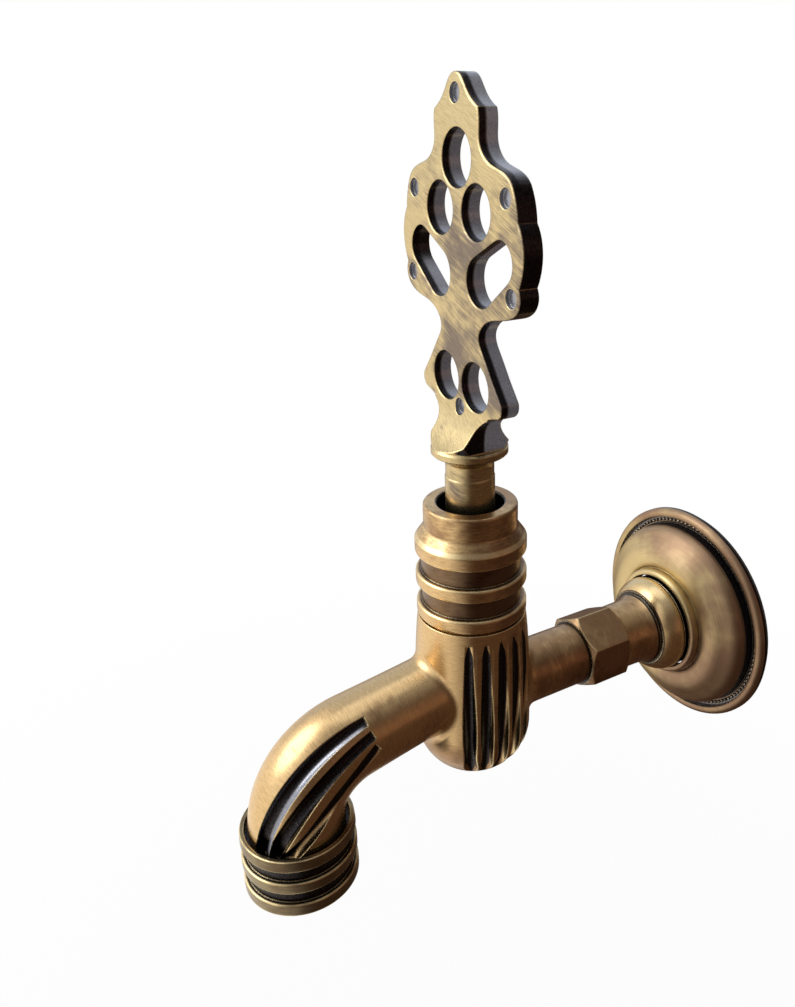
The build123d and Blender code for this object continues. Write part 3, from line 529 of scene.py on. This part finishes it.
def rosette_cuts(make, split):
    """The groove inside the rim, the crease round the hub, the hub's inside and the back edge.

    The groove's floor also gets a painted steel-blue highlight.
    """
    dome_foot = (-6.6, -5.6)
    groove_black = 0.7
    floor_front = (-6.0, -4.4)
    speckle_black = (0.25, 0.75)
    floor_lit = 0.45
    hub_foot = (-15.4, -14.6)
    crease_black = 0.4
    back_edge = (-3.4, -3.0)
    edge_black = 0.8
    radius = make.length(split[0], split[2])
    groove = make.between(radius, *rim_groove, 0.2)
    groove = make.multiply(groove, make.ramp(split[1], *dome_foot, 0.0, groove_black))
    floor = make.multiply(make.between(radius, *groove_floor, 0.2), make.ramp(split[1], *floor_front))
    speckle = make.ramp(make.noise(make.triple(*split), 1.5, 2.0), 0.35, 0.6, *speckle_black)
    crease = make.multiply(make.between(radius, *hub_crease, 0.3), make.ramp(split[1], *hub_foot))
    inside = make.ramp(radius, hub_bore_r + 0.25, hub_bore_r)
    edge = make.ramp(radius, rosette_edge_r - 0.25, rosette_edge_r)
    edge = make.multiply(edge, make.ramp(split[1], *back_edge))
    dark = make.most(
        groove,
        make.multiply(floor, speckle),
        make.multiply(crease, crease_black),
        inside,
        make.multiply(edge, edge_black),
    )
    # The groove's floor gets a painted steel-blue highlight
    return dark, make.multiply(floor, floor_lit)


def no_cuts(make, split):
    """A piece with no black cuts."""
    return 0.0, None


def body_brown_and_shade(make, split):
    """The body is golden on the spout's bend and browner at its root and on the pipe, with painted shade
    below and on the right.
    """
    pipe_front = (-84.0, -74.0)
    pipe_share = 1.15
    under_heights = (6.0, -17.0)
    under_front = (-130.0, -108.0)
    under_share = 1.1
    side_offsets = (6.0, 17.0)
    side_front = (-112.0, -96.0)
    side_share = 0.5
    root_offsets = (0.0, 11.0)
    root_span = (-142.0, -113.0)
    root_share = 0.2
    pipe = make.ramp(split[1], *pipe_front, 0.0, pipe_share)
    # Painted shade below the spout and on the body's right side, turned from the light
    under = make.multiply(make.ramp(split[2], *under_heights), make.ramp(split[1], *under_front), under_share)
    side = make.multiply(make.ramp(split[0], *side_offsets), make.ramp(split[1], *side_front), side_share)
    root = make.multiply(make.ramp(split[0], *root_offsets), make.between(split[1], *root_span, 8.0))
    root = make.multiply(root, root_share)
    return make.most(side, root, pipe, under)


def upright_painted_shade(make, split):
    """Painted shade: the bonnet is darker brown at the back and on the right, turned from the light."""
    slant = 0.6
    backward_limits = (0.0, 15.0)
    share = 0.8
    backward = make.add(make.multiply(split[0], slant), make.subtract(split[1], body_axis))
    return make.multiply(make.ramp(backward, *backward_limits), share)


def groove_brown_and_shade(make, split):
    """The floors of the bonnet's grooves and its neck stayed brown, and the back and right carry painted
    shade.
    """
    floor_r = (16.5, 15.6)
    neck_share = 0.45
    radius = make.length(split[0], make.subtract(split[1], body_axis))
    groove = make.multiply(make.ramp(radius, *floor_r), make.between(split[2], *bonnet_grooves, 0.4))
    neck = make.multiply(make.ramp(split[2], cone_top, cone_top + 0.5), neck_share)
    return make.most(groove, neck, upright_painted_shade(make, split))


def handle_brown(make, split):
    """The plate is golden on its left and at its tip, and smudged between."""
    rightward = (-24.0, -2.0)
    below_tip = (176.0, 140.0)
    above_foot = (97.0, 104.0)
    plate_share = 0.6
    stem_top = (84.4, 83.8)
    stem_share = 0.2
    plate = make.multiply(
        make.ramp(split[0], *rightward),
        make.ramp(split[2], *below_tip),
        make.ramp(split[2], *above_foot),
        plate_share,
    )
    return make.most(plate, make.multiply(make.ramp(split[2], *stem_top), stem_share))


def adapter_brown_and_shade(make, split):
    """The neck is browner than the collar and the hexagon more so, and painted shade darkens the adapter
    below.
    """
    step_share = 0.5
    under_heights = (2.0, -9.0)
    under_share = 0.4
    neck = make.ramp(split[1], neck_back, neck_back - 1.0, 0.0, step_share)
    hexagon = make.ramp(split[1], hexagon_back, hexagon_back - 1.0, 0.0, step_share)
    # Painted shade on the adapter's underside
    under = make.ramp(split[2], *under_heights, 0.0, under_share)
    return make.add(neck, hexagon, under)


def rosette_brown_and_shade(make, split):
    """The rim is browner, and the dome is golden on the left with painted shade on the right and at the top.
    """
    rim_share = 0.6
    slant = 0.5
    rightward_limits = (-10.0, 24.0)
    top_heights = (16.0, 32.0)
    dome_share = 0.85
    radius = make.length(split[0], split[2])
    rim = make.multiply(make.ramp(radius, groove_floor[1], groove_floor[1] + 0.4), rim_share)
    # Painted shade on the dome's right and top
    rightward = make.subtract(split[0], make.multiply(split[2], slant))
    dome = make.most(make.ramp(rightward, *rightward_limits), make.ramp(split[2], *top_heights))
    return make.most(rim, make.multiply(dome, dome_share))


def evenly(make, split):
    """No place browner, more worn, or given painted shade or highlight than another."""
    return 0.0


def ring_edge_wear_and_highlights(axis_y, least_r):
    """The rounded edges and slopes of rings turned about a vertical axis, worn bright by the brush and
    painted brighter still as a highlight where the slopes catch the light.
    """
    slopes = (0.3, 0.88)
    bright_share = 0.9

    def edges(make, split):
        normal = make.parts(make.node("ShaderNodeTexCoord").outputs["Normal"])
        slope = make.between(make.math("ABSOLUTE", normal[2]), *slopes, 0.12)
        radius = make.length(split[0], make.subtract(split[1], axis_y))
        return make.multiply(slope, make.ramp(radius, least_r, least_r + 0.3), bright_share)
    return edges


def brass(name, marks, cuts=no_cuts, brown_and_shade=evenly, wear_and_highlight=evenly, light=gold, middle=bronze, gloss=0.27,
          streak=1.0, film=0.5, edge_reach=0.0006, grime=0.62, patches=1.0):
    """Antique brass: brushed bright metal, a brown film, black oxide in the cuts, worn edges, and painted
    light.

    marks says how the brush lines run, and cuts which places are black and where a painted steel-blue
    highlight lies on them, or None where there is no such highlight. browned says where the film is thick and
    where painted shade darkens the metal, and wear where the metal is rubbed off bright or carries a painted
    highlight. streak is how strong the lines are, film how brown the metal is, grime how far the black
    spreads from the corners, and patches how cloudy the film is.
    """
    anisotropy = 0.45
    anisotropy_turn = 0.25
    to_millimetres = (1000.0, 1000.0, 1000.0)
    corner_reach = 0.004
    film_shift = film_reach * film
    brown_and_shade_share = 0.3
    corner_black = 0.65
    lit_matt = 0.75
    bump_strength = 0.07
    bump_depth = 0.00006
    material = bpy.data.materials.new(name)
    material.use_nodes = True
    make = Nodes(material.node_tree)
    metres = make.node("ShaderNodeTexCoord").outputs["Object"]
    place = make.node("ShaderNodeVectorMath", {0: metres, 1: to_millimetres}, operation="MULTIPLY").outputs[0]
    split = make.parts(place)
    mark = marks(make, split)

    def lines(lengthwise, across, detail):
        """Noise drawn out along the brush lines, by how fine it is along them and across them."""
        return make.noise(
            make.triple(
                make.multiply(mark.sine, lengthwise),
                make.multiply(mark.cosine, lengthwise),
                make.multiply(mark.along, across),
            ),
            1.0, detail, 0.6,
        )

    broad = make.noise(place, broad_scale, 3.0, 0.55)
    cloudy = make.noise(place, cloudy_scale, 4.0, 0.62)
    grain = make.noise(place, grain_scale, 3.0, 0.6)
    bands = lines(2.0, 0.55, 3.0)
    scratches = lines(3.0, 2.4, 3.0)
    hairs = lines(7.0, 7.0, 2.0)

    # Film: how brown the metal is, from broad clouds, from the brush that took it off in lines, and from
    # painted shade
    worn = make.add(
        make.multiply(broad, broad_share * patches),
        make.multiply(cloudy, cloudy_share * patches),
        0.5 - 0.5 * patches,
        make.multiply(make.subtract(bands, 0.5), band_share * streak),
        make.multiply(make.subtract(scratches, 0.5), scratch_share * streak),
    )
    # The browned marks add the thick film and painted shade on the sides turned from the light
    worn = make.subtract(worn, make.multiply(brown_and_shade(make, split), brown_and_shade_share))
    brown = make.ramp(worn, brown_limits[0] + film_shift, brown_limits[1] + film_shift)
    deep_brown = make.ramp(worn, umber_limits[0] + film_shift, umber_limits[1] + film_shift)
    base = make.mix(brown, colour(*light), colour(*middle))
    base = make.mix(deep_brown, base, colour(*umber))
    hair_shade = make.ramp(hairs, 0.3, 0.7, 1.0 - hair_dark * streak, 1.0 + hair_light * streak)
    base = make.mix(1.0, base, make.triple(hair_shade, hair_shade, hair_shade), "MULTIPLY")

    # Black oxide lies in the cuts and thins out round them, and a cut's lit side gets a painted steel-blue
    # highlight, made less metallic so it looks lit
    open_sky = make.node(
        "ShaderNodeAmbientOcclusion", {"Distance": corner_reach}, samples=8, only_local=True
    ).outputs["AO"]
    patchy = make.multiply(make.subtract(cloudy, 0.5), 0.3)
    corner = make.ramp(make.add(open_sky, patchy), grime, 0.5 * grime)
    dark, lit = cuts(make, split)
    cut = make.ramp(make.add(dark, make.multiply(patchy, 0.3)), 0.1, 0.7)
    black = make.mix(make.ramp(grain, 0.35, 0.7), colour(*oxide[0]), colour(*oxide[1]))
    base = make.mix(make.multiply(corner, corner_black), base, black)
    metallic = 1.0
    if lit is not None:
        steel_blue = make.mix(make.ramp(grain, 0.3, 0.7), colour(*steel_blue_highlight[0]), colour(*steel_blue_highlight[1]))
        black = make.mix(lit, black, steel_blue)
        metallic = make.subtract(1.0, make.multiply(cut, lit, lit_matt))
    base = make.mix(cut, base, black)

    # Edges are worn bright and shaded round, and further marks add wear and painted highlights in the same
    # bright brass
    bevel = make.node("ShaderNodeBevel", {"Radius": edge_reach}, samples=6).outputs[0]
    flat = make.node("ShaderNodeNewGeometry").outputs["Normal"]
    bend = make.dot(bevel, flat)
    edge = make.multiply(make.ramp(bend, 0.99, 0.88), make.ramp(open_sky, 0.45, 0.7))
    edge = make.most(edge, wear_and_highlight(make, split))
    edge = make.multiply(edge, make.ramp(cloudy, 0.3, 0.6, 0.55, 1.0))
    base = make.mix(edge, base, colour(*bright_brass))

    # Roughness and relief follow the scratches and the grain
    rough = make.add(
        make.multiply(make.subtract(scratches, 0.5), scratch_rough),
        gloss,
        make.multiply(brown, film_rough),
        make.multiply(make.subtract(grain, 0.5), grain_rough),
    )
    rough = make.subtract(rough, make.multiply(cut, cut_gloss))
    height = make.add(make.multiply(scratches, streak * 2.0), grain, make.multiply(hairs, streak))
    bump = make.node(
        "ShaderNodeBump",
        {"Strength": bump_strength, "Distance": bump_depth, "Height": height, "Normal": bevel},
    ).outputs[0]
    shader = make.node(
        "ShaderNodeBsdfPrincipled",
        {"Base Color": base, "Metallic": metallic, "Roughness": rough, "Normal": bump},
    )
    if mark.tangent is not None:
        make.fill(shader.inputs["Tangent"], mark.tangent)
        make.fill(shader.inputs["Anisotropic"], anisotropy)
        make.fill(shader.inputs["Anisotropic Rotation"], anisotropy_turn)
    make.node("ShaderNodeOutputMaterial", {"Surface": shader.outputs[0]})
    return material


def plain(name, first, second, roughness, metallic=0.0, scale=600.0, bump_height=0.00005):
    """A simple material with a fine two-tone grain."""
    material = bpy.data.materials.new(name)
    material.use_nodes = True
    make = Nodes(material.node_tree)
    place = make.node("ShaderNodeTexCoord").outputs["Object"]
    grain = make.noise(place, scale, 3.0, 0.6)
    base = make.mix(make.ramp(grain, 0.35, 0.65), colour(*first), colour(*second))
    rough = make.ramp(grain, 0.2, 0.8, roughness - 0.06, roughness + 0.06)
    bump = make.node("ShaderNodeBump", {"Strength": 0.3, "Distance": bump_height, "Height": grain}).outputs[0]
    shader = make.node(
        "ShaderNodeBsdfPrincipled",
        {"Base Color": base, "Metallic": metallic, "Roughness": rough, "Normal": bump},
    )
    make.node("ShaderNodeOutputMaterial", {"Surface": shader.outputs[0]})
    return material


def dress(node, material):
    """Gives a CAD node's object its material."""
    for slot in nodes[node].material_slots:
        slot.link = "OBJECT"
        slot.material = material


def dress_all():
    """Materials of the CAD nodes."""
    about_barrel = about_upright(body_axis)
    about_outlet = about_upright(outlet_axis)
    dress("tap_body", brass("body_brass", cast_body_marks, body_cuts, body_brown_and_shade, rib_edge_highlights, film=0.42))
    dress("bonnet", brass(
        "bonnet_brass", about_barrel, bonnet_cuts, groove_brown_and_shade, ring_edge_wear_and_highlights(body_axis, 15.9),
        film=0.6, streak=1.4, grime=0.9,
    ))
    dress("handle", brass(
        "handle_brass", flat_marks, handle_cuts, handle_brown,
        light=olive_gold, middle=smudge, streak=1.25, film=0.62, patches=0.75,
    ))
    dress("outlet_collar", brass(
        "collar_brass", about_outlet, collar_cuts, wear_and_highlight=ring_edge_wear_and_highlights(outlet_axis, 16.5),
        light=olive, middle=dark_olive, film=1.0,
    ))
    dress("inlet_adapter", brass(
        "adapter_brass", about_inlet, adapter_cuts, adapter_brown_and_shade, bead_wear,
        edge_reach=0.0009, patches=0.6,
    ))
    dress("rosette", brass(
        "rosette_brass", about_inlet, rosette_cuts, rosette_brown_and_shade,
        light=pale_gold, middle=rose_bronze, gloss=0.4, streak=0.45, film=0.4, patches=0.45, grime=0.3,
    ))
    inner = brass("inner_brass", about_barrel, light=new_brass, middle=gold, streak=0.4, film=0.2)
    dress("headwork_body", inner)
    dress("spindle", inner)
    dress("aerator_housing", brass("aerator_brass", about_outlet, light=olive, streak=0.4))
    dress("aerator_mesh", plain("mesh_steel", (0.3, 0.3, 0.29), (0.45, 0.45, 0.43), 0.35, 1.0))
    steel = plain("steel", (0.05, 0.05, 0.055), (0.1, 0.1, 0.11), 0.35, 1.0)
    dress("spindle_circlip", steel)
    dress("handle_grub_screw", steel)
    rubber = plain("rubber", (0.012, 0.012, 0.013), (0.025, 0.025, 0.026), 0.6)
    for node in ("seat_seal", "spindle_o_ring_lower", "spindle_o_ring_upper", "outlet_gasket"):
        dress(node, rubber)
    dress("rosette_gasket", plain("foam", (0.02, 0.02, 0.02), (0.05, 0.05, 0.05), 0.85, 0.0, 1500.0, 0.0002))
    fibre = plain("fibre", (0.22, 0.07, 0.045), (0.32, 0.11, 0.07), 0.8)
    dress("headwork_washer", fibre)
    dress("adapter_gasket", fibre)
    ceramic = plain("ceramic", (0.82, 0.8, 0.75), (0.86, 0.84, 0.8), 0.2)
    dress("fixed_disc", ceramic)
    dress("moving_disc", ceramic)
    plastic = plain("plastic", (0.72, 0.72, 0.7), (0.78, 0.78, 0.76), 0.45)
    dress("slide_washer", plastic)
    dress("aerator_straightener", plastic)


def new_piece(name, corners, faces, material, body):
    """A mesh piece that rides on a body of the part."""
    mesh = bpy.data.meshes.new(name)
    mesh.from_pydata(corners, [], faces)
    mesh.materials.append(material)
    mesh.shade_smooth()
    piece = bpy.data.objects.new(name, mesh)
    bpy.context.scene.collection.objects.link(piece)
    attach(piece, body)
    return piece


def threaded_tail():
    """The tail with its real pipe thread, in place of the plain cylinder."""
    crest = 0.01048
    root = 0.00932
    bore = 0.007
    pitch = 0.001814
    corners_per_ring = 96
    start = -0.019
    relief_start = -0.010
    relief_end = -0.0078
    end = 0.013
    chamfer = 0.0012
    rings_per_pitch = 10
    flat_share = 0.12
    ring_count = round((end - start) / pitch * rings_per_pitch)
    profile = []
    for number in range(ring_count + 1):
        profile.append(start + (end - start) * number / ring_count)

    def radius(along, turn):
        if relief_start < along < relief_end:
            return root
        phase = (along / pitch + turn) % 1.0
        rise = 0.5 + 0.5 * math.cos(2 * math.pi * phase)
        rise = min(max((rise - flat_share) / (1 - 2 * flat_share), 0.0), 1.0)
        limit = crest - max(0.0, along - (end - chamfer))
        return min(root + (crest - root) * rise, limit)

    corners = []
    for along in profile:
        for step in range(corners_per_ring):
            turn = step / corners_per_ring
            angle = 2 * math.pi * turn
            r = radius(along, turn)
            corners.append((r * math.cos(angle), along, r * math.sin(angle)))
    for along in (end, start):
        for step in range(corners_per_ring):
            angle = 2 * math.pi * step / corners_per_ring
            corners.append((bore * math.cos(angle), along, bore * math.sin(angle)))
    faces = []
    ring_total = ring_count + 3
    for ring in range(ring_total):
        after = (ring + 1) % ring_total
        for step in range(corners_per_ring):
            beside = (step + 1) % corners_per_ring
            faces.append((
                ring * corners_per_ring + step,
                after * corners_per_ring + step,
                after * corners_per_ring + beside,
                ring * corners_per_ring + beside,
            ))
    material = brass("tail_brass", about_inlet, light=new_brass, middle=gold, streak=0.4, film=0.2, gloss=0.3)
    piece = new_piece("threaded_tail", corners, faces, material, "base")
    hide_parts("inlet_tail")


def rosette_beads():
    """A row of small beads on the floor of the rosette's groove."""
    ring_r = 0.0356
    bead_r = 0.00062
    floor_y = -0.0029
    count = 112
    steps = 10
    rows = 5
    corners = []
    faces = []
    for number in range(count):
        angle = 2 * math.pi * number / count
        centre = Vector((ring_r * math.cos(angle), floor_y, ring_r * math.sin(angle)))
        outward = Vector((math.cos(angle), 0, math.sin(angle)))
        sideways = Vector((-math.sin(angle), 0, math.cos(angle)))
        first = len(corners)
        for row in range(rows):
            lift = math.pi / 2 * row / rows
            for step in range(steps):
                turn = 2 * math.pi * step / steps
                flat = outward * math.cos(turn) + sideways * math.sin(turn)
                point = centre + (flat * math.cos(lift) + Vector((0, -1, 0)) * math.sin(lift)) * bead_r
                corners.append(point[:])
        corners.append((centre + Vector((0, -bead_r, 0)))[:])
        for row in range(rows - 1):
            for step in range(steps):
                beside = (step + 1) % steps
                low = first + row * steps
                high = low + steps
                faces.append((low + step, low + beside, high + beside, high + step))
        top = first + (rows - 1) * steps
        for step in range(steps):
            faces.append((top + step, top + (step + 1) % steps, first + rows * steps))
    material = plain("bead_brass", (0.16, 0.13, 0.1), (0.62, 0.56, 0.44), 0.3, 1.0, 900.0, 0.00002)
    new_piece("rosette_beads", corners, faces, material, "rosette")


def add_lamp(name, place, target, size, power):
    """A soft round lamp that faces a point."""
    lamp = bpy.data.objects.new(name, bpy.data.lights.new(name, "AREA"))
    bpy.context.scene.collection.objects.link(lamp)
    lamp.data.shape = "ELLIPSE"
    lamp.data.size = size
    lamp.data.size_y = size
    lamp.data.energy = power
    lamp.location = place
    lamp.rotation_mode = "QUATERNION"
    lamp.rotation_quaternion = (Vector(target) - Vector(place)).to_track_quat("-Z", "Y")


def add_world():
    """White to the camera, even grey light, and in the metal a studio: bright on the left, dark on the right.

    Each patch of the studio's light has a direction, the cosines where it begins and is full, and a colour.
    """
    even_strength = 0.6
    dim = (0.13, 0.095, 0.08)
    window = ((-0.5, -0.85, 0.4), (0.35, 0.9), (1.3, 1.27, 1.2))
    ceiling = ((-0.2, -0.1, 1.0), (0.4, 0.97), (0.45, 0.44, 0.43))
    cool_side = ((-0.9, 0.35, 0.3), (0.4, 0.97), (0.75, 0.80, 0.88))
    warm_side = ((0.8, 0.4, -0.15), (0.6, 0.97), (0.28, 0.155, 0.105))
    world = bpy.data.worlds.new("studio")
    bpy.context.scene.world = world
    world.use_nodes = True
    make = Nodes(world.node_tree)
    direction = make.node("ShaderNodeTexCoord").outputs["Generated"]
    paths = make.node("ShaderNodeLightPath").outputs

    def add_patch(light, toward, limits, tint, blend="LIGHTEN"):
        """Lays one patch of light over what a mirrored ray sees."""
        facing = make.dot(direction, Vector(toward).normalized())
        return make.mix(make.ramp(facing, *limits), light, colour(*tint), blend)

    light = add_patch(colour(*dim), *window, "MIX")
    for patch in (ceiling, cool_side, warm_side):
        light = add_patch(light, *patch)
    white = make.node("ShaderNodeBackground", {"Color": colour(1, 1, 1), "Strength": 1.0}).outputs[0]
    mirrored = make.node("ShaderNodeBackground", {"Color": light, "Strength": 1.0}).outputs[0]
    even = make.node("ShaderNodeBackground", {"Color": colour(1, 1, 1), "Strength": even_strength}).outputs[0]
    seen = make.node("ShaderNodeMixShader", {0: paths["Is Glossy Ray"], 1: even, 2: mirrored}).outputs[0]
    straight = make.most(paths["Is Camera Ray"], paths["Is Transmission Ray"])
    both = make.node("ShaderNodeMixShader", {0: straight, 1: seen, 2: white}).outputs[0]
    make.node("ShaderNodeOutputWorld", {"Surface": both})


def add_floor():
    """A pale floor: white far from the tap, and in the metal bright on the left and dark on the right."""
    reach = 6.0
    height = -0.16
    white_from = (0.1, 0.45)
    near_white = 0.93
    left = (-0.54, -0.84)
    leftward_limits = (-0.1, 1.0)
    dark_side = (0.10, 0.055, 0.035)
    bright_side = (1.3, 1.22, 1.1)
    mesh = bpy.data.meshes.new("floor")
    mesh.from_pydata(
        [(-reach, -reach, height), (reach, -reach, height), (reach, reach, height), (-reach, reach, height)],
        [],
        [(0, 1, 2, 3)],
    )
    floor = bpy.data.objects.new("floor", mesh)
    bpy.context.scene.collection.objects.link(floor)
    material = bpy.data.materials.new("floor")
    material.use_nodes = True
    make = Nodes(material.node_tree)
    place = make.node("ShaderNodeTexCoord").outputs["Object"]
    split = make.parts(place)
    paths = make.node("ShaderNodeLightPath").outputs
    grain = make.noise(place, 900.0, 2.0)
    pale = make.mix(make.ramp(grain, 0.3, 0.7), colour(0.80, 0.80, 0.795), colour(0.83, 0.83, 0.825))
    matt = make.node("ShaderNodeBsdfPrincipled", {"Base Color": pale, "Roughness": 0.9}).outputs[0]
    glow = make.node("ShaderNodeEmission", {"Color": colour(1, 1, 1), "Strength": 1.0}).outputs[0]
    away = make.length(split[0], make.subtract(split[1], body_y))
    pure = make.ramp(away, *white_from, near_white)
    lit = make.node("ShaderNodeMixShader", {0: pure, 1: matt, 2: glow}).outputs[0]
    across = make.multiply(make.subtract(split[1], body_y), left[1])
    across = make.add(make.multiply(split[0], left[0]), across)
    leftward = make.ramp(make.math("DIVIDE", across, away), *leftward_limits)
    mirror_colour = make.mix(leftward, colour(*dark_side), colour(*bright_side))
    mirrored = make.node("ShaderNodeEmission", {"Color": mirror_colour, "Strength": 1.0}).outputs[0]
    seen = make.node("ShaderNodeMixShader", {0: paths["Is Glossy Ray"], 1: matt, 2: mirrored}).outputs[0]
    seen = make.node("ShaderNodeMixShader", {0: paths["Is Camera Ray"], 1: seen, 2: lit}).outputs[0]
    make.node("ShaderNodeOutputMaterial", {"Surface": seen})
    mesh.materials.append(material)


def add_lights():
    """Two soft studio lamps: a broad key above on the left and a top light."""
    middle = (0.0, -0.09, 0.05)
    add_lamp("key", (-0.4, -0.8, 0.6), middle, 0.8, 4.0)
    add_lamp("top", (-0.15, -0.05, 0.95), middle, 0.7, 1.0)


bpy.context.scene.view_settings.view_transform = "Standard"
add_camera()
add_world()
add_floor()
add_lights()
dress_all()
threaded_tail()
rosette_beads()
